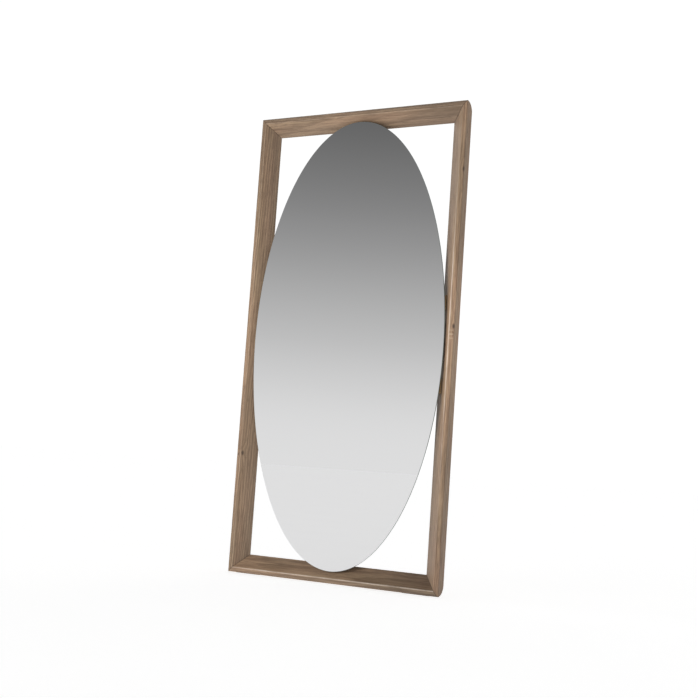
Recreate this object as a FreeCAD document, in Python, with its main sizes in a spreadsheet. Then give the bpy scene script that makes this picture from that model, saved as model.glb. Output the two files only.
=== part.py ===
import FreeCAD, Part
import math
import os
import Sketcher

# A tall leaning floor mirror: an oval glass fixed inside a rectangular frame of
# four mitred wooden members.  The model stands upright; in use the whole object
# leans back, its foot on the floor and its top against a wall.
#
# Each piece is drawn in the frame's own axes: X across, Y from the frame's front
# face to its back, Z up from the bottom of the wood.  seat() then moves every
# finished piece alike, so that the origin is at the bottom centre of the whole.

SIZES = [
    # the frame's members, all cut from one moulding
    ("frame_width", 1000),
    ("frame_height", 2000),
    ("frame_depth", 50),
    ("member_width", 78),        # at the back
    ("face_width", 20),          # at the front; the inner face is splayed between the two
    ("flat_foot", 5),            # left flat in front of the rounded outer back edges
    # the oval glass and what it is stuck to
    # The margins start at the splayed faces where they pass the panel's back edge, so the glass
    # and its panel follow the members. Below zero, the glass reaches out over that line.
    ("side_margin", -9.8),       # from the stiles' splayed faces in to the glass
    ("end_margin", -6.3),        # from the rails' splayed faces in to the glass
    ("glass_setback", 7.5),      # behind the frame's front face
    ("glass_thickness", 5),
    ("glass_seam", 0.6),         # polished arris round the front of the glass
    ("tape_thickness", 1.5),
    ("tape_width", 25),
    ("tape_pitch", 140),
    ("tape_cover", 30),          # panel left bare past the ends of a strip
    ("panel_thickness", 16),
    ("panel_inset", 12),         # the panel's edge inside the edge of the glass
    # cross battens, let into the backs of the stiles
    ("batten_height", 60),
    ("batten_offset", 170),      # up and down from the middle of the frame
    ("batten_end_cover", 22),    # wood left outside a batten's end
    ("joint_fit", 0.15),
    # plywood key across each mitre
    ("key_length", 34),
    ("key_width", 24),
    ("key_thickness", 4),
    ("key_back_cover", 18),      # wood behind a key
    ("key_edge_cover", 4),       # wood between a key's inner end and the splayed face
    # flat steel plates on the back
    ("plate_thickness", 2),
    ("brace_leg", 90),
    ("brace_width", 16),
    ("brace_clearance", 2),      # from the rounded edge to a brace
    ("brace_end_margin", 12),
    ("brace_hole_pitch", 30),
    ("tie_width", 80),
    ("tie_hole_inset", 12),
    ("tie_edge_clearance", 3),   # from the rounded edge to a tie plate
    ("tie_height", 64),
    ("block_width", 100),
    ("block_height", 60),
    ("block_clearance", 2),      # from a rail's inner back edge to its block
    # wood screws
    ("shank_radius", 1.75),
    ("flat_head_radius", 3.5),
    ("pan_head_radius", 3.4),
    ("pan_head_height", 2.2),
    ("screw_tip", 4),
    ("screw_cover", 3),          # wood left in front of a screw's tip
    ("screw_fit", 0.05),
    ("batten_screw_inset", 10),  # from a batten's end
    ("batten_screw_pitch", 34),
    ("panel_screw_pitch", 250),
    ("hanger_screw_length", 16),
    # D-rings for an anti-tip cord
    ("hanger_drop", 400),        # from the top of the frame to a ring's pivot
    ("hanger_inset", 38),        # from the side of the frame to a ring's middle
    ("strap_width", 14),
    ("strap_length", 42),
    ("strap_thickness", 1.2),
    ("strap_hole_start", 14),
    ("strap_hole_pitch", 18),
    ("ring_wire_radius", 1.5),
    ("ring_fit", 0.05),
    ("ring_side_gap", 3),        # from the strap's edge to the middle of the ring's leg
    ("ring_bend", 2.5),
    ("ring_leg", 8),
    # rubber
    ("bumper_radius", 8),
    ("bumper_height", 6),
    ("bumper_round", 3),
    ("bumper_inset", 22),
    ("bumper_clearance", 4),     # from the rounded edge to a bumper
    ("pad_proud", 1),
    ("pad_sunk", 1),
    ("pad_angle", 20),           # degrees of the rounded edge that a floor pad covers
    ("pad_length", 120),
    ("pad_inset", 40),           # from the frame's side to a floor pad
]

OVERSHOOT = "2"                  # how far a cutting outline runs past the wood
HALF_WIDTH = "(Sizes.frame_width / 2)"
DEPTH = "Sizes.frame_depth"
HEIGHT = "Sizes.frame_height"
MEMBER = "Sizes.member_width"
ROUND = "(Sizes.frame_depth - Sizes.flat_foot)"
TAPE_FRONT = "(Sizes.glass_setback + Sizes.glass_thickness)"
PANEL_FRONT = "(%s + Sizes.tape_thickness)" % TAPE_FRONT
PANEL_BACK = "(%s + Sizes.panel_thickness)" % PANEL_FRONT
# how far in from the frame's outside the splayed face is, at the depth of the panel's back
SPLAY_AT_PANEL = ("(Sizes.face_width + %s * (Sizes.member_width - Sizes.face_width)"
                  " / Sizes.frame_depth)" % PANEL_BACK)
GLASS_HALF_WIDTH = "(%s - %s - Sizes.side_margin)" % (HALF_WIDTH, SPLAY_AT_PANEL)
GLASS_HALF_HEIGHT = "(Sizes.frame_height / 2 - %s - Sizes.end_margin)" % SPLAY_AT_PANEL
PANEL_HALF_WIDTH = "(%s - Sizes.panel_inset)" % GLASS_HALF_WIDTH
PANEL_HALF_HEIGHT = "(%s - Sizes.panel_inset)" % GLASS_HALF_HEIGHT
PLATE_BACK = "(Sizes.frame_depth + Sizes.plate_thickness)"

SIDES = {"left": -1, "right": 1}
ENDS = {"bottom": -1, "top": 1}

doc = FreeCAD.newDocument("FloorMirror")
sizes = doc.addObject("Spreadsheet::Sheet", "Sizes")
for row, (alias, value) in enumerate(SIZES, start=1):
    sizes.set("A%d" % row, alias)
    sizes.set("B%d" % row, str(value))
    sizes.setAlias("B%d" % row, alias)
doc.recompute()

nodes = []


def number(expression):
    """The value of an expression of sheet cells, in millimetres or degrees."""
    value = sizes.evalExpression(expression)
    return float(getattr(value, "Value", value))


def bind(item, **expressions):
    """Ties properties to expressions; a double underscore stands for a dot."""
    for name, expression in expressions.items():
        item.setExpression(name.replace("__", "."), expression)


def place(item, x="0", y="0", z="0"):
    bind(item, Placement__Base__x=x, Placement__Base__y=y, Placement__Base__z=z)


def seat(item, label):
    """Names a finished piece and moves it from the frame's axes to the origin."""
    item.Label = label
    place(item, y="-(Sizes.frame_depth + Sizes.bumper_height) / 2", z="Sizes.pad_proud")
    nodes.append(item)


# ---------------------------------------------------------------- places

def wood_edge(depth):
    """Distance from a member's outer face to its splayed face, at a depth."""
    slope = "(Sizes.member_width - Sizes.face_width) / Sizes.frame_depth"
    return "(Sizes.face_width + (%s) * %s)" % (depth, slope)


def wood_behind(distance):
    """Thickness of wood from the splayed face to the back, at a distance from the outer face."""
    splay = "(Sizes.member_width - Sizes.face_width)"
    return "((Sizes.member_width - (%s)) * Sizes.frame_depth / %s)" % (distance, splay)


def across(side, distance):
    """X at a distance in from the frame's left or right side."""
    return "%d * (%s - (%s))" % (side, HALF_WIDTH, distance)


def upward(end, distance):
    """Z at a distance in from the frame's bottom or top."""
    return "(%s)" % distance if end < 0 else "(Sizes.frame_height - (%s))" % distance


def near_corner(side, end, spots):
    """X and Z of spots given by their distances from a corner's two outer faces."""
    return [(across(side, u), upward(end, v)) for u, v in spots]


# ---------------------------------------------------------------- shapes

def new_sketch(body, role, name, offset="0"):
    """A sketch on one of the body's own planes, moved along that plane's normal."""
    sketch = body.newObject("Sketcher::SketchObject", name)
    plane = [item for item in body.Origin.OriginFeatures if item.Role == role][0]
    sketch.AttachmentSupport = [(plane, "")]
    sketch.MapMode = "FlatFace"
    bind(sketch, AttachmentOffset__Base__z=offset)
    return sketch


def draw_polygon(sketch, corners):
    """A closed outline whose every corner is dimensioned from the origin."""
    first = sketch.GeometryCount
    spots = [FreeCAD.Vector(number(x), number(y), 0) for x, y in corners]
    for index, spot in enumerate(spots):
        following = spots[(index + 1) % len(spots)]
        sketch.addGeometry(Part.LineSegment(spot, following))
    for index, corner in enumerate(corners):
        line = first + index
        following = first + (index + 1) % len(corners)
        sketch.addConstraint(Sketcher.Constraint("Coincident", line, 2, following, 1))
        for kind, expression in zip(("DistanceX", "DistanceY"), corner):
            rule = Sketcher.Constraint(kind, -1, 1, line, 1, number(expression))
            sketch.setExpression("Constraints[%d]" % sketch.addConstraint(rule), expression)


def pad(body, sketch, length, to_back=False):
    feature = body.newObject("PartDesign::Pad", "Pad")
    feature.Profile = sketch
    feature.Reversed = to_back
    bind(feature, Length=length)
    doc.recompute()
    return feature


def pocket_backward(body, name, depth, outlines, length=None):
    """Cuts outlines drawn in X and Z, from a depth towards the back."""
    before = body.Shape.Volume
    sketch = new_sketch(body, "XZ_Plane", name, "-(%s)" % depth)
    for outline in outlines:
        draw_polygon(sketch, outline)
    feature = body.newObject("PartDesign::Pocket", name + "Pocket")
    feature.Profile = sketch
    if length:
        bind(feature, Length=length)
    else:
        feature.Type = "ThroughAll"
    doc.recompute()
    if body.Shape.Volume >= before:
        raise RuntimeError("%s %s cuts nothing" % (body.Name, name))


def slab(name, depth, thickness, outline):
    """A plate drawn in X and Z, from a depth towards the back."""
    body = doc.addObject("PartDesign::Body", name)
    sketch = new_sketch(body, "XZ_Plane", name + "Outline", "-(%s)" % depth)
    draw_polygon(sketch, outline)
    pad(body, sketch, thickness, to_back=True)
    return body


def box(name, x_span, y_span, z_span):
    """A block between a low and a high expression on each axis."""
    block = doc.addObject("Part::Box", name)
    low = [span[0] for span in (x_span, y_span, z_span)]
    length, width, height = ["(%s) - (%s)" % (span[1], span[0])
                             for span in (x_span, y_span, z_span)]
    bind(block, Length=length, Width=width, Height=height)
    place(block, *low)
    return block


def oval(name, half_width, half_height, depth, thickness):
    """An upright elliptical plate centred in the frame, from a depth towards the back."""
    ellipse = doc.addObject("Part::Ellipse", name + "Outline")
    ellipse.Placement.Rotation = FreeCAD.Rotation(FreeCAD.Vector(1, 1, 1), 240)
    bind(ellipse, MajorRadius=half_height, MinorRadius=half_width)
    place(ellipse, "0", depth, HEIGHT + " / 2")
    plate = doc.addObject("Part::Extrusion", name)
    plate.Base = ellipse
    plate.DirMode = "Custom"
    plate.Dir = FreeCAD.Vector(0, 1, 0)
    plate.Solid = True
    bind(plate, LengthFwd=thickness)
    doc.recompute()
    return plate


def cylinder(name, radius, length, axis, spot):
    """A cylinder that starts at a spot and runs along an axis."""
    rod = doc.addObject("Part::Cylinder", name)
    rod.Placement.Rotation = FreeCAD.Rotation(FreeCAD.Vector(0, 0, 1), axis)
    bind(rod, Radius=radius, Height=length)
    place(rod, *spot)
    return rod


def fuse(name, pieces):
    joined = doc.addObject("Part::MultiFuse", name)
    joined.Shapes = pieces
    return joined


def group(name, pieces):
    """Separate solids kept together as one object."""
    compound = doc.addObject("Part::Compound", name)
    compound.Links = pieces
    return compound


def cut(piece, *tools):
    """The piece with each tool taken away in turn."""
    for tool in tools:
        result = doc.addObject("Part::Cut", piece.Name + "Cut")
        result.Base = piece
        result.Tool = tool
        piece = result
    doc.recompute()
    return piece


def edges_where(shape, test):
    """Numbers, from 1, of the straight edges whose two ends both pass a test."""
    return [index for index, edge in enumerate(shape.Edges, start=1)
            if all(test(vertex.Point) for vertex in edge.Vertexes) and len(edge.Vertexes) == 2]


def edges_at_depth(shape, depth):
    """Numbers, from 1, of the edges that lie wholly at a depth."""
    near = 1e-6
    return [index for index, edge in enumerate(shape.Edges, start=1)
            if abs(edge.BoundBox.YMin - depth) < near and abs(edge.BoundBox.YMax - depth) < near]


# ---------------------------------------------------------------- screws

def turned(name, outline):
    """A body turned about Y from an outline of radius and Y."""
    body = doc.addObject("PartDesign::Body", name)
    sketch = new_sketch(body, "XY_Plane", name + "Outline")
    draw_polygon(sketch, outline)
    feature = body.newObject("PartDesign::Revolution", name + "Turn")
    feature.Profile = sketch
    feature.ReferenceAxis = (sketch, ["V_Axis"])
    feature.Angle = 360
    doc.recompute()
    return body


def flat_screw(name, length, fit="0"):
    """Countersunk wood screw, its head's top at Y = 0, pointing forward; fit grows it."""
    shank = "(Sizes.shank_radius + %s)" % fit
    head = "(Sizes.flat_head_radius + %s)" % fit
    tip = "-((%s) + %s)" % (length, fit)
    return turned(name, [("0", "0"),
                         (head, "0"),
                         (shank, "%s - %s" % (shank, head)),
                         (shank, "%s + Sizes.screw_tip" % tip),
                         ("0", tip)])


def pan_screw(name, length, fit="0"):
    """Pan-headed wood screw, the underside of its head at Y = 0; fit grows its shank."""
    shank = "(Sizes.shank_radius + %s)" % fit
    tip = "-((%s) + %s)" % (length, fit)
    return turned(name, [("0", "Sizes.pan_head_height"),
                         ("Sizes.pan_head_radius * 0.7", "Sizes.pan_head_height"),
                         ("Sizes.pan_head_radius", "Sizes.pan_head_height * 0.4"),
                         ("Sizes.pan_head_radius", "0"),
                         (shank, "0"),
                         (shank, "%s + Sizes.screw_tip" % tip),
                         ("0", tip)])


def repeat(name, master, spots):
    """One copy of a master at each spot, as one object."""
    copies = []
    for index, spot in enumerate(spots, start=1):
        copy = doc.addObject("App::Link", "%s%d" % (name, index))
        copy.LinkedObject = master
        copy.LinkTransform = False
        place(copy, *spot)
        copies.append(copy)
    return group(name, copies)


def fasten(label, make_screw, length, spots):
    """Seats a group of screws, and gives the group that clears them in what they hold."""
    screws = repeat(label + "_group", make_screw(label + "_master", length), spots)
    seat(screws, label)
    cutter = make_screw(label + "_cutter", length, "Sizes.screw_fit")
    return repeat(label + "_clearance", cutter, spots)


def batten_middle(level):
    return "(Sizes.frame_height / 2 + %d * Sizes.batten_offset)" % level


LEVELS = {"lower": -1, "upper": 1}

brace_line = "(%s + Sizes.brace_clearance + Sizes.brace_width / 2)" % ROUND
brace_near = "(%s + Sizes.brace_clearance)" % ROUND
brace_far = "(%s + Sizes.brace_leg)" % brace_near
brace_holes = ["(%s - Sizes.brace_end_margin)" % brace_far,
               "(%s - Sizes.brace_end_margin - Sizes.brace_hole_pitch)" % brace_far]
brace_spots = []
for side in SIDES.values():
    for end in ENDS.values():
        for hole in brace_holes:
            for u, v in ((hole, brace_line), (brace_line, hole)):
                brace_spots.append((across(side, u), PLATE_BACK, upward(end, v)))
brace_screw = "(Sizes.plate_thickness + %s - Sizes.screw_cover)" % wood_behind(brace_line)
brace_cut = fasten("corner_brace_screws", flat_screw, brace_screw, brace_spots)

batten_screw_line = "(Sizes.batten_end_cover + Sizes.joint_fit + Sizes.batten_screw_inset)"
batten_spots = []
for level in LEVELS.values():
    for side in SIDES.values():
        for step in (-1, 1):
            height = "%s + %d * Sizes.batten_screw_pitch / 2" % (batten_middle(level), step)
            batten_spots.append((across(side, batten_screw_line), DEPTH, height))
batten_screw = "(%s - Sizes.screw_cover)" % wood_behind(batten_screw_line)
batten_cut = fasten("batten_screws", flat_screw, batten_screw, batten_spots)

panel_spots = [("%d * Sizes.panel_screw_pitch" % step, DEPTH, batten_middle(level))
               for level in LEVELS.values() for step in (-1, 0, 1)]
panel_screw = "(Sizes.frame_depth - %s - Sizes.screw_cover)" % PANEL_FRONT
panel_cut = fasten("panel_screws", flat_screw, panel_screw, panel_spots)

tie_near = "(%s + Sizes.tie_edge_clearance)" % ROUND
tie_far = "(%s + Sizes.tie_height)" % tie_near
tie_rail_line = "(%s + Sizes.tie_hole_inset)" % tie_near
tie_block_line = "(%s - Sizes.tie_hole_inset)" % tie_far
tie_spots = []
for end in ENDS.values():
    for line in (tie_rail_line, tie_block_line):
        for step in (-1, 1):
            x = "%d * (Sizes.tie_width / 2 - Sizes.tie_hole_inset)" % step
            tie_spots.append((x, PLATE_BACK, upward(end, line)))
tie_wood = "min(%s; Sizes.frame_depth - %s)" % (wood_behind(tie_rail_line), PANEL_BACK)
tie_screw = "(Sizes.plate_thickness + %s - Sizes.screw_cover)" % tie_wood
tie_cut = fasten("tie_plate_screws", flat_screw, tie_screw, tie_spots)

pivot_height = "(%s - Sizes.hanger_drop)" % HEIGHT
barrel_radius = "(Sizes.ring_wire_radius + Sizes.ring_fit + Sizes.strap_thickness)"
pivot_depth = "(%s + %s)" % (DEPTH, barrel_radius)
strap_back = "(%s + Sizes.strap_thickness)" % DEPTH
hanger_spots = []
for side in SIDES.values():
    for step in (0, 1):
        height = "%s + Sizes.strap_hole_start + %d * Sizes.strap_hole_pitch" % (pivot_height, step)
        hanger_spots.append((across(side, "Sizes.hanger_inset"), strap_back, height))
hanger_cut = fasten("hanger_screws", pan_screw, "Sizes.hanger_screw_length", hanger_spots)


# ---------------------------------------------------------------- mitre keys

key_front = "(%s - Sizes.key_back_cover - Sizes.key_thickness)" % DEPTH
key_inner = "(%s - Sizes.key_edge_cover)" % wood_edge(key_front)
key_middle = "(%s - Sizes.key_length / 2 * sqrt(0.5))" % key_inner


def key_outline(side, end, fit):
    """The key's rectangle, lengthwise along the mitre, grown by a fit on every side."""
    along = "((Sizes.key_length / 2 + %s) * sqrt(0.5))" % fit
    over = "((Sizes.key_width / 2 + %s) * sqrt(0.5))" % fit
    signs = ((1, 1), (1, -1), (-1, -1), (-1, 1))
    spots = [("%s + %d * %s + %d * %s" % (key_middle, a, along, b, over),
              "%s + %d * %s - %d * %s" % (key_middle, a, along, b, over)) for a, b in signs]
    return near_corner(side, end, spots)


keys = [slab("Key_%s_%s" % (end_name, side_name), key_front, "Sizes.key_thickness",
             key_outline(side, end, "0"))
        for side_name, side in SIDES.items() for end_name, end in ENDS.items()]
seat(group("MitreKeys", keys), "mitre_keys")


def cut_key_slots(body, corners):
    """Slots for the keys at the member's two corners, a fit deeper on both faces."""
    body_slots = [key_outline(side, end, "Sizes.joint_fit") for side, end in corners]
    pocket_backward(body, "KeySlots", "%s - Sizes.joint_fit" % key_front, body_slots,
                    "Sizes.key_thickness + 2 * Sizes.joint_fit")


# ---------------------------------------------------------------- frame members

past_member = "(Sizes.member_width + %s)" % OVERSHOOT


def round_back_edges(body, feature, heights):
    """Rounds the outer back edges that lie at the given heights."""
    back = number(DEPTH)
    found = []
    for height in heights:
        level = number(height)
        found += edges_where(feature.Shape, lambda spot: abs(spot.y - back) < 1e-6
                             and abs(spot.z - level) < 1e-6)
    fillet = body.newObject("PartDesign::Fillet", "RoundedBack")
    fillet.Base = (feature, ["Edge%d" % index for index in found])
    bind(fillet, Radius=ROUND)
    doc.recompute()


def stile(side_name):
    """An upright member: moulding section along Z, mitred where it meets the rails."""
    side = SIDES[side_name]
    body = doc.addObject("PartDesign::Body", "Stile_" + side_name)
    section = new_sketch(body, "XY_Plane", "Section")
    draw_polygon(section, [(across(side, "0"), "0"),
                           (across(side, "Sizes.face_width"), "0"),
                           (across(side, MEMBER), DEPTH),
                           (across(side, "0"), DEPTH)])
    blank = pad(body, section, HEIGHT)
    round_back_edges(body, blank, ["0", HEIGHT])
    mitres = [near_corner(side, end, [("-" + OVERSHOOT, "-" + OVERSHOOT),
                                      (past_member, past_member),
                                      (past_member, "-" + OVERSHOOT)])
              for end in ENDS.values()]
    pocket_backward(body, "Mitres", "-" + OVERSHOOT, mitres)
    cut_key_slots(body, [(side, end) for end in ENDS.values()])
    housings = []
    for level in LEVELS.values():
        low = "%s - Sizes.batten_height / 2 - Sizes.joint_fit" % batten_middle(level)
        high = "%s + Sizes.batten_height / 2 + Sizes.joint_fit" % batten_middle(level)
        housings.append([(across(side, "Sizes.batten_end_cover"), low),
                         (across(side, past_member), low),
                         (across(side, past_member), high),
                         (across(side, "Sizes.batten_end_cover"), high)])
    pocket_backward(body, "Housings", PANEL_BACK, housings)
    return cut(body, brace_cut, batten_cut, hanger_cut)


def rail(end_name):
    """A level member: moulding section along X, mitred where it meets the stiles."""
    end = ENDS[end_name]
    body = doc.addObject("PartDesign::Body", "Rail_" + end_name)
    section = new_sketch(body, "YZ_Plane", "Section", "-" + HALF_WIDTH)
    draw_polygon(section, [("0", upward(end, "0")),
                           ("0", upward(end, "Sizes.face_width")),
                           (DEPTH, upward(end, MEMBER)),
                           (DEPTH, upward(end, "0"))])
    blank = pad(body, section, "Sizes.frame_width")
    round_back_edges(body, blank, [upward(end, "0")])
    mitres = [near_corner(side, end, [("-" + OVERSHOOT, "-" + OVERSHOOT),
                                      (past_member, past_member),
                                      ("-" + OVERSHOOT, past_member)])
              for side in SIDES.values()]
    pocket_backward(body, "Mitres", "-" + OVERSHOOT, mitres)
    cut_key_slots(body, [(side, end) for side in SIDES.values()])
    return cut(body, brace_cut, tie_cut)


for side_name in SIDES:
    seat(stile(side_name), side_name + "_stile")


# ---------------------------------------------------------------- floor pads

def pad_ring(name, outer, inner, start, length, margin):
    """A strip bent round the bottom's rounded edge; margin is degrees added past its far end."""
    strips = []
    for radius in (outer, inner):
        strip = cylinder(name + "Round", radius, length, FreeCAD.Vector(1, 0, 0),
                         (start, "Sizes.flat_foot", ROUND))
        bind(strip, Angle="Sizes.pad_angle + %s" % margin)
        strip.Placement.Rotation = FreeCAD.Rotation(FreeCAD.Vector(0, 0, -1),
                                                    FreeCAD.Vector(0, 1, 0),
                                                    FreeCAD.Vector(1, 0, 0))
        strips.append(strip)
    return cut(strips[0], strips[1])


pad_outer = "(%s + Sizes.pad_proud)" % ROUND
pad_inner = "(%s - Sizes.pad_sunk)" % ROUND
pad_starts = {"left": "-(%s) + Sizes.pad_inset" % HALF_WIDTH,
              "right": "%s - Sizes.pad_inset - Sizes.pad_length" % HALF_WIDTH}
grooves = []
for side_name, start in pad_starts.items():
    seat(pad_ring("FloorPad_" + side_name, pad_outer, pad_inner, start, "Sizes.pad_length", "0"),
         "floor_pad_" + side_name)
    grooves.append(pad_ring("PadGroove_" + side_name,
                            "(%s + %s)" % (pad_outer, OVERSHOOT), pad_inner,
                            "%s - Sizes.joint_fit" % start,
                            "Sizes.pad_length + 2 * Sizes.joint_fit", "0.2"))

seat(rail("top"), "top_rail")
seat(cut(rail("bottom"), *grooves), "bottom_rail")


# ---------------------------------------------------------------- glass, tape and panel

glass = oval("Glass", GLASS_HALF_WIDTH, GLASS_HALF_HEIGHT, "Sizes.glass_setback",
             "Sizes.glass_thickness")
front_edge = edges_at_depth(glass.Shape, number("Sizes.glass_setback"))
seamed = doc.addObject("Part::Chamfer", "SeamedGlass")
seamed.Base = glass
seamed.Edges = [(index, number("Sizes.glass_seam"), number("Sizes.glass_seam"))
                for index in front_edge]
doc.recompute()
seat(seamed, "mirror_glass")

tapes = []
for step in range(-2, 3):
    middle = "%d * Sizes.tape_pitch" % step
    share = "sqrt(1 - (%s) ^ 2 / %s ^ 2)" % (middle, PANEL_HALF_WIDTH)
    reach = "(%s * %s - Sizes.tape_cover)" % (PANEL_HALF_HEIGHT, share)
    tapes.append(box("Tape%d" % (step + 3),
                     ("%s - Sizes.tape_width / 2" % middle, "%s + Sizes.tape_width / 2" % middle),
                     (TAPE_FRONT, PANEL_FRONT),
                     ("Sizes.frame_height / 2 - %s" % reach,
                      "Sizes.frame_height / 2 + %s" % reach)))
seat(group("Tapes", tapes), "mirror_tape")

panel = oval("Panel", PANEL_HALF_WIDTH, PANEL_HALF_HEIGHT, PANEL_FRONT, "Sizes.panel_thickness")
seat(cut(panel, panel_cut), "backing_panel")


# ---------------------------------------------------------------- battens, blocks and plates

batten_reach = "(%s - Sizes.batten_end_cover - Sizes.joint_fit)" % HALF_WIDTH
for level_name, level in LEVELS.items():
    batten = box("Batten_" + level_name,
                 ("-" + batten_reach, batten_reach),
                 (PANEL_BACK, DEPTH),
                 ("%s - Sizes.batten_height / 2" % batten_middle(level),
                  "%s + Sizes.batten_height / 2" % batten_middle(level)))
    seat(cut(batten, batten_cut, panel_cut), level_name + "_batten")

block_near = "(Sizes.member_width + Sizes.block_clearance)"
block_far = "(%s + Sizes.block_height)" % block_near
for end_name, end in ENDS.items():
    span = [upward(end, block_near), upward(end, block_far)]
    block = box("Block_" + end_name,
                ("-Sizes.block_width / 2", "Sizes.block_width / 2"),
                (PANEL_BACK, DEPTH),
                span if end < 0 else span[::-1])
    seat(cut(block, tie_cut), end_name + "_block")
    tie = slab("Tie_" + end_name, DEPTH, "Sizes.plate_thickness",
               [("-Sizes.tie_width / 2", upward(end, tie_near)),
                ("Sizes.tie_width / 2", upward(end, tie_near)),
                ("Sizes.tie_width / 2", upward(end, tie_far)),
                ("-Sizes.tie_width / 2", upward(end, tie_far))])
    seat(cut(tie, tie_cut), end_name + "_tie_plate")

brace_width_end = "(%s + Sizes.brace_width)" % brace_near
for end_name, end in ENDS.items():
    for side_name, side in SIDES.items():
        brace = slab("Brace_%s_%s" % (end_name, side_name), DEPTH, "Sizes.plate_thickness",
                     near_corner(side, end, [(brace_near, brace_near),
                                             (brace_far, brace_near),
                                             (brace_far, brace_width_end),
                                             (brace_width_end, brace_width_end),
                                             (brace_width_end, brace_far),
                                             (brace_near, brace_far)]))
        seat(cut(brace, brace_cut), "corner_brace_%s_%s" % (end_name, side_name))


# ---------------------------------------------------------------- hangers

def strap(side_name):
    """A steel strap whose lower end is rolled round the ring's straight bar."""
    middle = across(SIDES[side_name], "Sizes.hanger_inset")
    left = "%s - Sizes.strap_width / 2" % middle
    right = "%s + Sizes.strap_width / 2" % middle
    plate = box("StrapPlate_" + side_name, (left, right), (DEPTH, strap_back),
                (pivot_height, "%s + Sizes.strap_length" % pivot_height))
    along = FreeCAD.Vector(1, 0, 0)
    barrel = cylinder("Barrel_" + side_name, barrel_radius, "Sizes.strap_width", along,
                      (left, pivot_depth, pivot_height))
    bore = cylinder("Bore_" + side_name, "Sizes.ring_wire_radius + Sizes.ring_fit",
                    "Sizes.strap_width + 2 * " + OVERSHOOT, along,
                    ("%s - %s" % (left, OVERSHOOT), pivot_depth, pivot_height))
    return cut(fuse("Strap_" + side_name, [plate, barrel]), bore, hanger_cut)


def bend(name, radius, angle, turn, spot):
    """Part of a torus in the X-Z plane; turn is where it starts, in degrees from +X towards +Z."""
    piece = doc.addObject("Part::Torus", name)
    piece.Angle3 = angle
    upright = FreeCAD.Rotation(FreeCAD.Vector(1, 0, 0), 90)
    piece.Placement.Rotation = upright.multiply(FreeCAD.Rotation(FreeCAD.Vector(0, 0, 1), turn))
    bind(piece, Radius1=radius, Radius2="Sizes.ring_wire_radius")
    place(piece, *spot)
    return piece


def ring(side_name):
    """A D-ring that hangs from its bar: two bends, two legs and a half round."""
    middle = across(SIDES[side_name], "Sizes.hanger_inset")
    half = "(Sizes.strap_width / 2 + Sizes.ring_side_gap)"
    bar = "(%s - Sizes.ring_bend)" % half
    leg_top = "(%s - Sizes.ring_bend)" % pivot_height
    leg_foot = "(%s - Sizes.ring_leg)" % leg_top
    wire = "Sizes.ring_wire_radius"
    pieces = [cylinder("Bar_" + side_name, wire, "2 * %s" % bar, FreeCAD.Vector(1, 0, 0),
                       ("%s - %s" % (middle, bar), pivot_depth, pivot_height)),
              bend("Bow_" + side_name, half, 180, 180, (middle, pivot_depth, leg_foot))]
    for sign, turn in ((-1, 90), (1, 0)):
        leg_x = "%s + %d * %s" % (middle, sign, half)
        bend_x = "%s + %d * %s" % (middle, sign, bar)
        pieces.append(cylinder("Leg_" + side_name, wire, "Sizes.ring_leg",
                               FreeCAD.Vector(0, 0, 1), (leg_x, pivot_depth, leg_foot)))
        pieces.append(bend("Bend_" + side_name, "Sizes.ring_bend", 90, turn,
                           (bend_x, pivot_depth, leg_top)))
    return fuse("Ring_" + side_name, pieces)


for side_name in SIDES:
    seat(strap(side_name), "hanger_strap_" + side_name)
    seat(ring(side_name), "hanger_ring_" + side_name)


# ---------------------------------------------------------------- wall bumpers

for side_name, side in SIDES.items():
    bumper_drop = "%s + Sizes.bumper_clearance + Sizes.bumper_radius" % ROUND
    dome = cylinder("Bumper_" + side_name, "Sizes.bumper_radius", "Sizes.bumper_height",
                    FreeCAD.Vector(0, 1, 0),
                    (across(side, "Sizes.bumper_inset"), DEPTH, upward(1, bumper_drop)))
    doc.recompute()
    rim = edges_at_depth(dome.Shape, number("%s + Sizes.bumper_height" % DEPTH))
    rounded = doc.addObject("Part::Fillet", "Dome_" + side_name)
    rounded.Base = dome
    rounded.Edges = [(index, number("Sizes.bumper_round"), number("Sizes.bumper_round"))
                     for index in rim]
    seat(rounded, "wall_bumper_" + side_name)


# ---------------------------------------------------------------- check and write

doc.recompute()
faults = [item.Name for item in doc.Objects
          if {"Invalid", "Error"} & set(item.State)]
faults += [item.Label for item in nodes if item.Shape.isNull() or not item.Shape.isValid()]
if faults:
    raise RuntimeError("faulty: " + ", ".join(faults))

os.makedirs("parts", exist_ok=True)
for item in nodes:
    item.Shape.exportStep("parts/%s.step" % item.Label)
    extent = item.Shape.BoundBox
    litres = item.Shape.Volume / math.pow(100, 3)
    print("%-28s %2d solids %8.4f l  z %7.1f to %7.1f" % (
        item.Label, len(item.Shape.Solids), litres, extent.ZMin, extent.ZMax))
print(len(nodes), "nodes")
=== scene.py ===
# %% [markdown]
# # A tall leaning mirror
# The object is an oval glass in a rectangular frame of four mitred wooden members,
# with battens, plates, screws and hanging rings behind. The measured model gives every
# size and place; this file makes the surfaces that are seen and gives them finishes.
# Everything is in metres: X across, Y from the front to the back, Z up.

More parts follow.
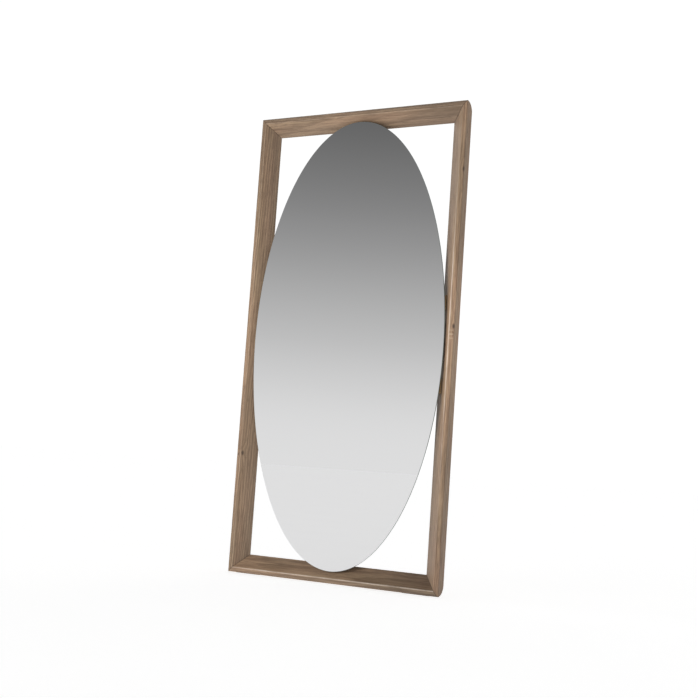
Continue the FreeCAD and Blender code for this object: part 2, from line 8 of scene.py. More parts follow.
# %% Load the measured model
import math
import bmesh
import bpy
import numpy as np
from mathutils import Matrix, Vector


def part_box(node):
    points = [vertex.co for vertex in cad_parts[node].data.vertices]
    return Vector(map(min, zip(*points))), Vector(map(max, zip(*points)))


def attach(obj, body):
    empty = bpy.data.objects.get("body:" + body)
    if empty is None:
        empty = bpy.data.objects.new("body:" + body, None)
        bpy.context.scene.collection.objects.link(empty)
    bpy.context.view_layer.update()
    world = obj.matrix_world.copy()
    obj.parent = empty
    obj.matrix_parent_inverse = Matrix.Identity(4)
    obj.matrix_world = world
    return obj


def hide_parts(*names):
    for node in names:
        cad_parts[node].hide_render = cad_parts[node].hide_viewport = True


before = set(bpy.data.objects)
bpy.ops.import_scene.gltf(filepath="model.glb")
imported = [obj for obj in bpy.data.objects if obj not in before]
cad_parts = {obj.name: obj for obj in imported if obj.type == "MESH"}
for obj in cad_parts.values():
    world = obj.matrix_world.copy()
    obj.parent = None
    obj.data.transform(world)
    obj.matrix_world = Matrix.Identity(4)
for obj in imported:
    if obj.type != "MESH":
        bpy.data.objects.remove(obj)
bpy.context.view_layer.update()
MM = 0.001

# %% [markdown]
# ## Sizes
# The outer sizes come from the boxes of the stiles and the glass, so the pieces here
# always fit the measured model. Only the shape of the moulding is written out: a narrow
# flat face at the front, a splayed inner face, and a big round on the outer back edge
# of the top and bottom members, which lets the frame roll back onto its foot.

# %% Frame sizes
stile_low, stile_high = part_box("left_stile")
FRONT, BACK = stile_low.y, stile_high.y
FOOT, HEAD = stile_low.z, stile_high.z
DEPTH = BACK - FRONT
HEIGHT = HEAD - FOOT
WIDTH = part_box("right_stile")[1].x - stile_low.x
MEMBER = stile_high.x - stile_low.x
FACE = 20 * MM
ROUND = DEPTH - 5 * MM
SPLAY = (MEMBER - FACE) / DEPTH
MIDDLE = (FOOT + HEAD) / 2
print("frame %.3f x %.3f x %.3f m, member %.3f m" % (WIDTH, DEPTH, HEIGHT, MEMBER))

# %% [markdown]
# ## From a grid of points to a closed piece
# Every piece is made of sheets. A sheet is a grid of points that numpy works out all at
# once from two parameters, and neighbouring points become four-sided faces. Sheets that
# share an edge are welded, which also closes the poles, and the faces are turned
# outwards. Edges sharper than an angle stay crisp and the rest is shaded smooth.

# %% Mesh helpers
def sheet_faces(rows, columns, start):
    """Quads between the points of a grid, numbered row by row from start."""
    corner = np.arange(rows * columns).reshape(rows, columns) + start
    quads = [corner[:-1, :-1], corner[:-1, 1:], corner[1:, 1:], corner[1:, :-1]]
    return np.stack(quads, axis=-1).reshape(-1, 4)


def build(name, sheets, finishes, body="frame", sharp=35, slot=None, stands_for=()):
    """One piece from sheets of (points[rows, columns, 3], finish number, wear or None)."""
    points, quads, finish, worn_highlit_shaded, start = [], [], [], [], 0
    for grid, number, edge in sheets:
        rows, columns = grid.shape[:2]
        faces = sheet_faces(rows, columns, start)
        points.append(grid.reshape(-1, 3))
        quads.append(faces)
        finish.append(np.full(len(faces), number))
        worn_highlit_shaded.append(np.zeros(rows * columns) if edge is None else edge.reshape(-1))
        start += rows * columns
    mesh = bpy.data.meshes.new(name)
    mesh.from_pydata(np.concatenate(points), [], np.concatenate(quads))
    mesh.polygons.foreach_set("material_index", np.concatenate(finish).astype(np.int32))
    layer = mesh.attributes.new("worn_highlit_shaded", "FLOAT", "POINT")
    layer.data.foreach_set("value", np.concatenate(worn_highlit_shaded).astype(np.float32))
    for material in finishes:
        mesh.materials.append(material)
    skin = bmesh.new()
    skin.from_mesh(mesh)
    bmesh.ops.remove_doubles(skin, verts=skin.verts, dist=2e-6)
    bmesh.ops.dissolve_degenerate(skin, edges=skin.edges, dist=1e-7)
    bmesh.ops.recalc_face_normals(skin, faces=skin.faces)
    skin.to_mesh(mesh)
    skin.free()
    mesh.shade_smooth()
    mesh.set_sharp_from_angle(angle=math.radians(sharp))
    piece = bpy.data.objects.new(name, mesh)
    bpy.context.scene.collection.objects.link(piece)
    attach(piece, body)
    if stands_for:
        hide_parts(*stands_for)
    return piece


def waves(seed, where, lengths):
    """A smooth random line between about -1 and 1: sines of the given lengths, added."""
    draw = np.random.default_rng(seed)
    phase = draw.uniform(0, 2 * math.pi, len(lengths))
    parts = [np.sin(2 * math.pi * where / length + p) for length, p in zip(lengths, phase)]
    return sum(parts) / len(lengths)

# %% [markdown]
# ## Writing materials in one line a node
# A finish is a small tree of nodes. `Nodes` adds a node, fills its sockets with numbers or
# with the outputs of earlier nodes, and hands back its output, so a finish below reads as a
# list of steps. `Finish` does that for one new material. All patterns read Object
# coordinates, which are metres on the real object, so a number such as 0.004 really is
# four millimetres.

# %% Material helper
class Nodes:
    """Adds nodes to one tree: numbers go straight onto sockets, outputs are linked."""

    def __init__(self, tree):
        self.tree = tree

    def add(self, kind, inputs=(), out=0, **settings):
        """One node of a kind; gives back the output of that number."""
        node = self.tree.nodes.new("ShaderNode" + kind)
        for key, value in settings.items():
            setattr(node, key, value)
        for key, value in dict(inputs).items():
            self.put(node.inputs[key], value)
        return node.outputs[out]

    def put(self, socket, value):
        """Links an output to a socket, or sets the socket to a number or a colour."""
        if isinstance(value, bpy.types.NodeSocket):
            self.tree.links.new(value, socket)
        else:
            socket.default_value = value

    def maths(self, operation, a, b=0.0, c=0.0):
        return self.add("Math", {0: a, 1: b, 2: c}, operation=operation)

    def noise(self, vector, scale, detail=2.0, rough=0.5):
        return self.add("TexNoise", {"Vector": vector, "Scale": scale, "Detail": detail,
                                     "Roughness": rough})

    def remap(self, value, low, high, to_low=0.0, to_high=1.0):
        """Smooth step of a value from low..high to to_low..to_high."""
        return self.add("MapRange", {"Value": value, 1: low, 2: high, 3: to_low, 4: to_high},
                        interpolation_type="SMOOTHSTEP")

    def stretch(self, vector, scale, shift=(0, 0, 0), turn=(0, 0, 0)):
        return self.add("Mapping", {"Vector": vector, "Scale": scale, "Location": shift,
                                    "Rotation": turn})

    def mix(self, share, a, b, kind="MIX"):
        """Colour a changed towards b by a share."""
        node = self.tree.nodes.new("ShaderNodeMix")
        node.data_type = "RGBA"
        node.blend_type = kind
        for key, value in ((0, share), (6, a), (7, b)):
            self.put(node.inputs[key], value)
        return node.outputs[2]

    def bump(self, height, distance, strength=1.0):
        return self.add("Bump", {"Height": height, "Distance": distance, "Strength": strength})


class Finish(Nodes):
    """The nodes of one new material."""

    def __init__(self, name):
        self.material = bpy.data.materials.new(name)
        self.material.use_nodes = True
        super().__init__(self.material.node_tree)
        self.shader = self.tree.nodes["Principled BSDF"]

    def surface(self, **values):
        """Fills the shader's sockets, written with _ for a space, and gives the material."""
        for key, value in values.items():
            self.put(self.shader.inputs[key.replace("_", " ")], value)
        return self.material

# %% [markdown]
# ## The frame's wood
# The members are cut from one dark-stained, wire-brushed board stock, with open grain
# and a matt finish. Growth rings are shells round the heart of the tree, so a face cut
# through them shows long lines and, where it cuts them flat, pointed arches. The finish
# works that out in three dimensions: the distance from a heart line that leans a little
# along the board, warped by slow noise, is cut into rings. Fibres, pores, a slow drift of
# colour, knots, a thin dark line at the mitres, paler edges that are worn and carry a
# painted highlight, painted shade along each member and deep in the splays, and darker
# outer fronts on the rails go on top.

# %% Colours of the wood
def rgb(red, green, blue):
    """A colour in linear light."""
    return (red, green, blue, 1.0)


def grey(value):
    return rgb(value, value, value)


PALE, MID, DEEP = rgb(0.465, 0.318, 0.208), rgb(0.345, 0.228, 0.148), rgb(0.165, 0.100, 0.062)
# The next line's first colour paints the inner arris paler, worn and with a painted highlight; its second
# paints shade deep in the splays and darkens the rails' outer fronts.
ARRIS_PALE_AND_HIGHLIGHT, DARK_AND_SHADE, FLECK = rgb(0.86, 0.74, 0.62), rgb(0.128, 0.098, 0.074), rgb(0.66, 0.53, 0.41)
PORE, KNOT, JOINT = rgb(0.070, 0.045, 0.030), rgb(0.055, 0.034, 0.022), rgb(0.035, 0.024, 0.017)
RING_PITCH = 10.5 * MM
print("a growth ring every %.1f mm" % (RING_PITCH / MM))

# %% Distance from the tree's heart
def tree_distance(g, spot, heart, seed, knots):
    """sqrt(x2 + y2) from a heart line that leans along the board, with slow noise added to x
    and y, pushed out round each knot. Also the share of dark knot core, None without knots."""
    across, deep, up = [g.add("SeparateXYZ", {0: spot}, out=axis) for axis in range(3)]
    slow = g.stretch(spot, (2.2, 2.2, 0.55), (seed, 3 * seed, 7))
    drift = g.add("TexNoise", {"Vector": slow, "Scale": 1.7, "Detail": 3.0}, out=1)
    drift_x, drift_y = [g.add("SeparateXYZ", {0: drift}, out=axis) for axis in range(2)]
    lean_x = g.maths("MULTIPLY_ADD", up, heart[2], heart[0])
    x = g.maths("ADD", g.maths("SUBTRACT", across, lean_x),
                g.maths("MULTIPLY", g.maths("SUBTRACT", drift_x, 0.5), 70 * MM))
    y = g.maths("ADD", g.maths("SUBTRACT", deep, heart[1]),
                g.maths("MULTIPLY", g.maths("SUBTRACT", drift_y, 0.5), 50 * MM))
    squares = g.maths("ADD", g.maths("MULTIPLY", x, x), g.maths("MULTIPLY", y, y))
    reach, core = g.maths("SQRT", squares), None
    for place, size in knots:
        offset = g.add("VectorMath", {0: spot, 1: place}, operation="SUBTRACT")
        offset = g.stretch(offset, (1, 1, 0.55))
        gap = g.add("VectorMath", {0: offset}, out=1, operation="LENGTH")
        reach = g.maths("ADD", reach, g.remap(gap, 0.0, 4.5 * size, size * 1.3, 0.0))
        dark = g.remap(gap, 0.35 * size, 1.15 * size, 1.0, 0.0)
        core = dark if core is None else g.maths("MAXIMUM", core, dark)
    return reach, core

# %% Tones with painted shade, and flecks, along a board
def tone_and_shade_along(g, up, along, lightness_and_shade):
    """Lightness along the length, painted shade where less light falls: the low end's, the middle's and the
    high end's, blended.
    """
    centre, half = (MIDDLE, HEIGHT / 2) if along == "Z" else (0.0, WIDTH / 2)
    place = g.maths("DIVIDE", g.maths("SUBTRACT", up, centre), half)
    low, middle, high = [grey(tone) for tone in lightness_and_shade]
    lower = g.mix(g.remap(place, -0.9, 0.0), low, middle)
    return g.mix(g.remap(place, 0.0, 0.9), lower, high)


def curl_flecks(g, colour, ripple, deep, up, curls):
    """Pale bars across the grain of the front face: where sin(2 pi z / pitch) is high, within
    a spread of a height. curls lists (height, pitch, spread)."""
    front = g.remap(deep, FRONT + 2 * MM, FRONT, 0.0, 1.0)
    for height, pitch, spread in curls:
        near = g.maths("ABSOLUTE", g.maths("SUBTRACT", up, height))
        wavy = g.maths("ADD", up, g.maths("MULTIPLY", ripple, 10 * MM))
        stripe = g.maths("SINE", g.maths("MULTIPLY", wavy, 2 * math.pi / pitch))
        fleck = g.maths("MULTIPLY", g.remap(stripe, 0.1, 0.9),
                        g.remap(near, 0.3 * spread, spread, 1.0, 0.0))
        fleck = g.maths("MULTIPLY", fleck, front)
        colour = g.mix(g.maths("MULTIPLY", fleck, 0.35), colour, FLECK)
    return colour

# %% Stained frame wood
def frame_wood(name, along, heart, seed, lightness_and_shade, knots=(), curls=()):
    """Wood with its grain along X or Z; heart is where the tree's centre runs beside it.
    lightness_and_shade are its lightness at the low end, the middle and the high end of its
    length, painted shade where less light falls, and knots lists (place, size)."""
    g = Finish(name)
    spot = g.add("TexCoord", out=3)
    if along == "X":
        spot = g.stretch(spot, (1, 1, 1), turn=(0, math.radians(-90), 0))
    deep, up = [g.add("SeparateXYZ", {0: spot}, out=axis) for axis in (1, 2)]
    reach, core = tree_distance(g, spot, heart, seed, knots)
    ripple = g.noise(g.stretch(spot, (1, 1, 0.12), (seed, 0, 0)), 26.0, 3.0)
    reach = g.maths("MULTIPLY_ADD", ripple, 16 * MM, reach)
    ring = g.maths("FRACT", g.maths("DIVIDE", reach, RING_PITCH))
    late = g.maths("SUBTRACT", g.remap(ring, 0.15, 0.82), g.remap(ring, 0.88, 1.0))
    fibre = g.noise(g.stretch(spot, (1, 1, 0.03), (0, seed, 0)), 330.0, 3.0, 0.65)
    band = g.noise(g.stretch(spot, (1, 1, 0.05), (seed, seed, 0)), 62.0, 2.0)
    pore_at = g.noise(g.stretch(spot, (1, 1, 0.035), (2, seed, 5)), 620.0, 2.0, 0.6)
    fine = g.noise(g.stretch(spot, (1, 1, 0.022), (seed, 3, 1)), 1700.0, 2.0, 0.6)
    pore = g.maths("MULTIPLY", g.remap(pore_at, 0.56, 0.68), g.remap(ring, 0.55, 0.0, 0.25, 1.0))
    patch = g.noise(g.stretch(spot, (1, 1, 0.35), (seed, 9, 1)), 6.5, 2.0)
    warm = g.noise(g.stretch(spot, (1, 1, 0.12), (4, 1, seed)), 24.0, 1.0)

    colour = g.mix(g.remap(band, 0.33, 0.66), MID, PALE)
    colour = g.mix(g.maths("MULTIPLY", late, 0.70), colour, DEEP)
    colour = g.mix(g.remap(fibre, 0.42, 0.74, 0.0, 0.70), colour, DEEP)
    colour = g.mix(g.remap(fibre, 0.58, 0.30, 0.0, 0.45), colour, PALE)
    colour = g.mix(g.remap(fine, 0.46, 0.68, 0.0, 0.34), colour, DEEP)
    colour = g.mix(g.remap(fine, 0.50, 0.32, 0.0, 0.22), colour, PALE)
    patches = g.mix(patch, rgb(0.62, 0.60, 0.58), rgb(1.30, 1.31, 1.32))
    colour = g.mix(0.75, colour, patches, "MULTIPLY")
    tints = g.mix(warm, rgb(1.12, 0.93, 0.88), rgb(0.90, 1.06, 0.96))
    colour = g.mix(0.5, colour, tints, "MULTIPLY")
    colour = g.mix(g.maths("MULTIPLY", pore, 0.75), colour, PORE)
    colour = g.mix(1.0, colour, tone_and_shade_along(g, up, along, lightness_and_shade), "MULTIPLY")
    colour = curl_flecks(g, colour, ripple, deep, up, curls)
    if core is not None:
        colour = g.mix(g.maths("MULTIPLY", core, 0.85), colour, KNOT)
    # Where this mark is above zero it paints the arris paler, worn and with a painted highlight; below zero
    # it paints shade deep in the splays and darkens the rails' outer fronts.
    worn_highlit_shaded = g.add("Attribute", out=2, attribute_name="worn_highlit_shaded")
    uneven = g.noise(g.stretch(spot, (1, 1, 0.3)), 34.0, 3.0)
    arris_worn_highlit = g.maths("MULTIPLY", g.maths("MAXIMUM", worn_highlit_shaded, 0.0), g.remap(uneven, 0.35, 0.65, 0.5, 1.0))
    colour = g.mix(g.maths("MULTIPLY", arris_worn_highlit, 0.9), colour, ARRIS_PALE_AND_HIGHLIGHT)
    colour = g.mix(g.maths("MAXIMUM", g.maths("MULTIPLY", worn_highlit_shaded, -0.6), 0.0), colour, DARK_AND_SHADE)
    colour = g.mix(mitre_line(g), colour, JOINT)

    sunk = g.maths("MULTIPLY_ADD", pore, 0.9, g.maths("MULTIPLY", fine, 0.3))
    brushed = g.maths("SUBTRACT", g.maths("MULTIPLY_ADD", late, 0.5, fibre), sunk)
    rough = g.maths("SUBTRACT", g.remap(fibre, 0.3, 0.7, 0.46, 0.62), g.maths("MULTIPLY", arris_worn_highlit, 0.15))
    return g.surface(Base_Color=colour, Roughness=rough, Normal=g.bump(brushed, 0.35 * MM, 0.8),
                     Specular_IOR_Level=0.5)


def mitre_line(g):
    """0.6 on the diagonal through each corner, equally far from a side and an end, else 0."""
    spot = g.add("TexCoord", out=3)
    x, z = [g.add("SeparateXYZ", {0: spot}, out=axis) for axis in (0, 2)]
    from_side = g.maths("SUBTRACT", WIDTH / 2, g.maths("ABSOLUTE", x))
    from_end = g.maths("SUBTRACT", HEIGHT / 2, g.maths("ABSOLUTE", g.maths("SUBTRACT", z, MIDDLE)))
    gap = g.maths("ABSOLUTE", g.maths("SUBTRACT", from_side, from_end))
    return g.remap(gap, 0.6 * MM, 2.2 * MM, 0.60, 0.0)


# Each wood's three lightnesses paint shade along the member: the rails darken towards the right, away from
# the softbox on the left, and the stiles towards both ends.
wood = {
    "left_stile": frame_wood("left stile wood", "Z", (-0.62, -0.075, 0.030), 11.0, (0.76, 0.93, 0.76),
                             knots=[((-0.474, -0.0233, 0.513), 0.007), ((-0.493, -0.028, 0.507), 0.004)]),
    "right_stile": frame_wood("right stile wood", "Z", (0.41, 0.110, -0.022), 23.0, (0.78, 1.08, 0.86),
                              knots=[((0.497, -0.026, 1.071), 0.007), ((0.499, -0.024, 1.715), 0.007)],
                              curls=[(1.037, 0.0165, 0.028)]),
    "top_rail": frame_wood("top rail wood", "X", (-1.90, -0.100, 0.025), 5.0, (0.80, 0.86, 0.66)),
    "bottom_rail": frame_wood("bottom rail wood", "X", (0.075, 0.085, -0.020), 31.0,
                              (1.02, 0.80, 0.50)),
}
print("woods", sorted(wood))

# %% [markdown]
# ## The four members
# Each member is the moulding's section carried from mitre to mitre. The section is given
# by two curves over the depth y: how far in from the outer face the wood starts, and how
# far in the splayed face is. Small arcs ease the long edges as sandpaper would, and their
# size wanders a little along the length. Where the section's point lies u in from the
# outer face, the member starts u along the frame, which makes the forty-five degree mitre;
# the stiles start later where the rounded foot or head has taken their ends away.

# %% Section of the moulding
SLOPE = math.atan2(DEPTH, MEMBER - FACE)


def arc_inset(gap, radius):
    """How far an arc of that radius has come in at a gap before its end: r - sqrt(r2 - (r-gap)2)."""
    rest = np.clip(radius - gap, 0, radius)
    return radius - np.sqrt(radius ** 2 - rest ** 2)


def outer_line(y, ease, back_radius):
    """Distance in from the outer face: an arc at the front edge and one at the back edge."""
    return np.maximum(arc_inset(y, ease), arc_inset(DEPTH - y, back_radius))


def splay_line(y, ease):
    """Distance in of the splayed face: straight, with an arc where it meets the front face."""
    straight = FACE + y * SPLAY
    start = FACE - ease * math.tan(SLOPE / 2)
    arc = start + np.sqrt(np.clip(ease ** 2 - (ease - y) ** 2, 0, None))
    tip = 0.5 * MM
    last = MEMBER - tip / math.tan(SLOPE / 2)
    nose = last + np.sqrt(np.clip(tip ** 2 - np.clip(y - DEPTH + tip, 0, None) ** 2, 0, None))
    line = np.where(y < ease * (1 - math.cos(SLOPE)), arc, straight)
    return np.where(y > DEPTH - tip * (1 + math.cos(SLOPE)), np.minimum(nose, straight), line)


def rounded_end(y):
    """Height of the big round above the frame's end, at a depth: R - sqrt(R2 - (y - foot)2)."""
    past = np.clip(y - (DEPTH - ROUND), 0, ROUND)
    return ROUND - np.sqrt(ROUND ** 2 - past ** 2)


print("splay %.1f degrees from the front" % math.degrees(SLOPE))

# %% A member from its section
DEPTH_STEPS, SHORT_RUN, LONG_RUN, STATIONS = 44, 8, 18, 120
level = DEPTH * (0.5 - 0.5 * np.cos(np.linspace(0, math.pi, DEPTH_STEPS)))
run = np.linspace(0.008, 0.992, STATIONS)
station = np.concatenate([[0, 0.0004, 0.001, 0.003], run, [0.997, 0.999, 0.9996, 1]])
CENTRE = np.array([0.45 * MEMBER, 0.6 * DEPTH])
END_EASE = 0.02


def member(name, place, end_rise, back_radius, seed, arris_worn_highlit, front_darkening, splay_shade):
    """Four long sheets and two ends; place(u, y, start, share) gives points in space.
    arris_worn_highlit is how pale the inner arris is, worn and with a painted highlight: how strong,
    how far in, how wide, and how much more at the middle of the length, which is painted light
    reflected off the glass; front_darkening is how much darker the outer half of the front is,
    and splay_shade is painted shade on the splay, darkest where it meets the back."""
    fade = np.clip(np.minimum(station, 1 - station) / 0.01, 0, 1)
    wander = waves(seed, station * HEIGHT, [0.9, 0.37, 0.21, 0.083]) * fade
    nick = waves(seed + 1, station * HEIGHT, [0.047, 0.031, 0.29]) * fade
    ease_out = (4.0 + 0.9 * wander)[:, None] * MM
    ease_in = (2.6 + 0.8 * nick)[:, None] * MM
    y = np.broadcast_to(level, (len(station), DEPTH_STEPS))
    low = outer_line(y, ease_out, back_radius)
    high = splay_line(y, ease_in)
    shrink = (1 - END_EASE * (1 - np.clip(np.minimum(station, 1 - station) / 0.0004, 0, 1)))
    shrink = shrink[:, None]

    def row(u_low, u_high, depth):
        """Points across the section at one depth, split where the rounded end starts."""
        split = np.clip(end_rise(depth), u_low, u_high)
        first = u_low + (split - u_low) * np.linspace(0, 1, SHORT_RUN)
        second = split + (u_high - split) * np.linspace(0, 1, LONG_RUN)
        return np.concatenate([first, second], axis=-1)

    def carried(u, y, inward, number, deep=0.0):
        """Carries a strip of the section along; slow ridges sink it by up to 0.1 mm."""
        start = np.maximum(u, end_rise(y))
        around = np.hypot(np.diff(u, axis=1), np.diff(y, axis=1)).mean(0)
        around = np.concatenate([[0], np.cumsum(around)])[None, :]
        border = np.clip(np.minimum(around, around[:, -1:] - around) / (3 * MM), 0, 1)
        along = (station * HEIGHT)[:, None]
        sway = 2.5 * MM * waves(number, along, [1.1, 0.53, 0.29])
        ridge = waves(number + 7, around + sway, [4.1 * MM, 6.7 * MM, 11.3 * MM])
        sunk = 0.05 * MM * (1 + ridge) * border * fade[:, None]
        # A paler band along the inner arris, worn and with a painted highlight; on the right stile it sits
        # on the splay and grows at mid-length, painted light reflected off the glass.
        band_worn_highlit = np.exp(-((np.hypot(u - FACE - arris_worn_highlit[1], y - arris_worn_highlit[1] / SPLAY) / arris_worn_highlit[2]) ** 2))
        middle = np.exp(-((station - 0.53) / 0.20) ** 2)[:, None]
        band_worn_highlit = band_worn_highlit * (arris_worn_highlit[0] * (0.85 + 0.15 * nick[:, None]) + arris_worn_highlit[3] * middle)
        # The outer edge of the front gets darker, and the splay gets painted shade that deepens towards the
        # back.
        darkened_and_shaded = front_darkening * np.clip(1.25 - u / FACE, 0, 1) * np.exp(-(y / (6 * MM)) ** 2)
        darkened_and_shaded = darkened_and_shaded + deep * np.clip((u - FACE) / (MEMBER - FACE), 0, 1)
        worn_highlit_shaded = np.clip(band_worn_highlit, 0, 1) - darkened_and_shaded
        u, y = u + inward[0] * sunk, y + inward[1] * sunk
        u = CENTRE[0] + (u - CENTRE[0]) * shrink
        y = CENTRE[1] + (y - CENTRE[1]) * shrink
        return place(u, y, start, station[:, None]), 0, worn_highlit_shaded

    flat = np.ones_like(low[:, :1])
    front_row = row(low[:, :1], high[:, :1], flat * 0)
    back_row = row(low[:, -1:], high[:, -1:], flat * DEPTH)
    sheets = [
        carried(low, y, (1, 0), seed + 2),
        carried(high, y, (-math.sin(SLOPE), math.cos(SLOPE)), seed + 3, splay_shade),
        carried(front_row, np.zeros_like(front_row), (0, 1), seed + 4),
        carried(back_row, np.full_like(back_row, DEPTH), (0, -1), seed + 5),
    ]
    cap_y = np.broadcast_to(level[:, None], (DEPTH_STEPS, SHORT_RUN + LONG_RUN))
    for share, index in ((0.0, 0), (1.0, -1)):
        cap_u = row(low[index][:, None], high[index][:, None], level[:, None])
        start = np.maximum(cap_u, end_rise(cap_y))
        u = CENTRE[0] + (cap_u - CENTRE[0]) * (1 - END_EASE)
        v = CENTRE[1] + (cap_y - CENTRE[1]) * (1 - END_EASE)
        sheets.append((place(u, v, start, np.full_like(u, share)), 0, None))
    piece = build(name + "_wood", sheets, [wood[name]], slot="frame_wood", stands_for=[name])
    print(name, len(piece.data.polygons), "faces")
    return piece


def stile_place(side):
    """X from the side face inwards; Z from the start at the foot to the same at the head."""
    return lambda u, y, start, share: np.stack(np.broadcast_arrays(
        side * (WIDTH / 2 - u), FRONT + y, FOOT + start + share * (HEIGHT - 2 * start)), axis=-1)


def rail_place(end):
    """Z from the end face inwards; X from the start at the left to the same at the right."""
    return lambda u, y, start, share: np.stack(np.broadcast_arrays(
        -WIDTH / 2 + start + share * (WIDTH - 2 * start), FRONT + y,
        MIDDLE + end * (HEIGHT / 2 - u)), axis=-1)


def no_rise(y):
    """A rail's ends are plain mitres."""
    return np.zeros_like(y)


# Of the last three numbers, the first sets the pale inner arris, worn and with a painted highlight; the
# second darkens the outer front; the third paints shade on the splay.
member("left_stile", stile_place(-1), rounded_end, 1.2 * MM, 100, (0.15, 0, 2 * MM, 0), 0, 0.75)
member("right_stile", stile_place(1), rounded_end, 1.2 * MM, 200, (0.08, 3.5 * MM, 4.2 * MM, 0.98), 0, 0.85)
member("top_rail", rail_place(1), no_rise, ROUND, 300, (0.42, 0, 2.8 * MM, 0), 0.8, 0.65)
member("bottom_rail", rail_place(-1), no_rise, ROUND, 400, (0.85, 0, 3.4 * MM, 0), 0.5, 0.55)

# %% [markdown]
# ## The oval glass and the board behind it
# The mirror is five millimetre glass, cut to an ellipse, its edge ground, polished and
# seamed, and silvered on the back. It could be a scaled cylinder, but then the seam would
# be wider at the ends than at the sides. Instead each point is the ellipse's point moved
# in by the same distance everywhere, and a list of steps gives distance in and depth, from
# the middle of the front round the edge to the middle of the back.

# %% Oval plates
TO_MIDDLE = 9  # metres in from the edge: past the middle of any plate, so it means the middle


def oval_plate(name, node, steps, finishes, **facts):
    """Ellipse of the node's box: (a - d) cos t, (b - d) sin t, at the depth of each step."""
    low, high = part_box(node)
    half_x, half_z = (high.x - low.x) / 2, (high.z - low.z) / 2
    turn = np.linspace(0, 2 * math.pi, 481)
    sheets = []
    for (d0, y0, number), (d1, y1, _) in zip(steps[:-1], steps[1:]):
        inset = np.array([d0, d1])[:, None]
        depth = np.array([y0, y1])[:, None] * np.ones_like(turn)
        x = np.where(inset >= half_x, 0, half_x - inset) * np.cos(turn)
        z = np.where(inset >= half_x, 0, half_z - inset) * np.sin(turn)
        centre_z = (low.z + high.z) / 2
        sheets.append((np.stack([x, low.y + depth, centre_z + z], axis=-1), number, None))
    return build(name, sheets, finishes, stands_for=[node], **facts)


silver = Finish("silvered glass")
haze = silver.noise(silver.add("TexCoord", out=3), 5.0, 2.0)
silver.surface(Base_Color=rgb(0.735, 0.735, 0.738), Metallic=1.0,
               Roughness=silver.remap(haze, 0.3, 0.7, 0.004, 0.012))
ground = Finish("polished glass edge")
spot = ground.add("TexCoord", out=3)
wisp = ground.noise(ground.stretch(spot, (1, 3, 1)), 60.0, 2.0)
ground.surface(Base_Color=ground.mix(wisp, rgb(0.10, 0.135, 0.12), rgb(0.19, 0.24, 0.22)),
               Roughness=0.12, Specular_IOR_Level=0.7)
paint = Finish("mirror backing paint")
fleck = paint.noise(paint.add("TexCoord", out=3), 240.0, 3.0)
paint.surface(Base_Color=paint.mix(fleck, rgb(0.20, 0.21, 0.22), rgb(0.27, 0.28, 0.29)),
              Roughness=0.55, Normal=paint.bump(fleck, 0.0001, 0.4))

SEAM = 0.6 * MM
glass = oval_plate("oval_mirror", "mirror_glass", [
    (TO_MIDDLE, 0, 0), (40 * MM, 0, 0), (SEAM, 0, 1), (0, SEAM, 1), (0, 4.6 * MM, 1),
    (0.4 * MM, 5 * MM, 2), (TO_MIDDLE, 5 * MM, 2)],
    [silver.material, ground.material, paint.material], sharp=20, slot="mirror")
print("glass faces", len(glass.data.polygons))

# %% [markdown]
# The glass is stuck to a round-edged oval board of fibreboard, painted black, by strips of
# foam tape. Fibreboard has no grain, only a fine fleck, and its cut edge drinks the paint
# and stays rougher and browner than the faces.

# %% Backing board and tape
board_paint = Finish("painted fibreboard")
spot = board_paint.add("TexCoord", out=3)
cloud = board_paint.noise(spot, 14.0, 4.0)
fuzz = board_paint.noise(spot, 900.0, 2.0)
tone = board_paint.mix(cloud, rgb(0.026, 0.026, 0.027), rgb(0.060, 0.058, 0.055))
board_paint.surface(Base_Color=tone, Roughness=board_paint.remap(cloud, 0.3, 0.7, 0.55, 0.75),
                    Normal=board_paint.bump(fuzz, 0.0001, 0.5))
board_edge = Finish("fibreboard edge")
spot = board_edge.add("TexCoord", out=3)
layer = board_edge.noise(board_edge.stretch(spot, (1, 14, 1)), 160.0, 4.0, 0.7)
tone = board_edge.mix(layer, rgb(0.045, 0.036, 0.029), rgb(0.14, 0.105, 0.075))
board_edge.surface(Base_Color=tone, Roughness=0.85, Normal=board_edge.bump(layer, 0.0003, 0.6))
board = oval_plate("backing_board", "backing_panel", [
    (TO_MIDDLE, 0, 0), (60 * MM, 0, 0), (0.8 * MM, 0, 0), (0.2 * MM, 0.3 * MM, 1), (0, 0.9 * MM, 1),
    (0, 15.1 * MM, 1), (0.2 * MM, 15.7 * MM, 1), (0.8 * MM, 16 * MM, 0),
    (TO_MIDDLE, 16 * MM, 0)],
    [board_paint.material, board_edge.material], slot="fibreboard")
print("board faces", len(board.data.polygons))

foam = Finish("white foam tape")
cells = foam.add("TexVoronoi", {"Vector": foam.add("TexCoord", out=3), "Scale": 1400.0})
foam.surface(Base_Color=foam.mix(cells, rgb(0.70, 0.70, 0.67), rgb(0.84, 0.84, 0.81)),
             Roughness=0.9, Normal=foam.bump(cells, 0.0002, 0.5))
ply = Finish("birch plywood key")
spot = ply.add("TexCoord", out=3)
sheet = ply.add("SeparateXYZ", {0: spot}, out=1)
veneer = ply.maths("PINGPONG", sheet, 0.0013)
grain = ply.noise(ply.stretch(spot, (1, 1, 0.08)), 500.0, 3.0)
tone = ply.mix(ply.remap(veneer, 0.0005, 0.0008), rgb(0.62, 0.45, 0.26), rgb(0.36, 0.24, 0.13))
ply.surface(Base_Color=ply.mix(grain, tone, rgb(0.68, 0.52, 0.33)), Roughness=0.7)


def dress(material, *names):
    """Gives a finish to every slot of the CAD nodes that stay; their meshes are left alone."""
    for name in names:
        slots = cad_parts[name].material_slots
        for slot in slots:
            slot.material = material
        print("dressed", name, len(slots))


dress(foam.material, "mirror_tape")
dress(ply.material, "mitre_keys")

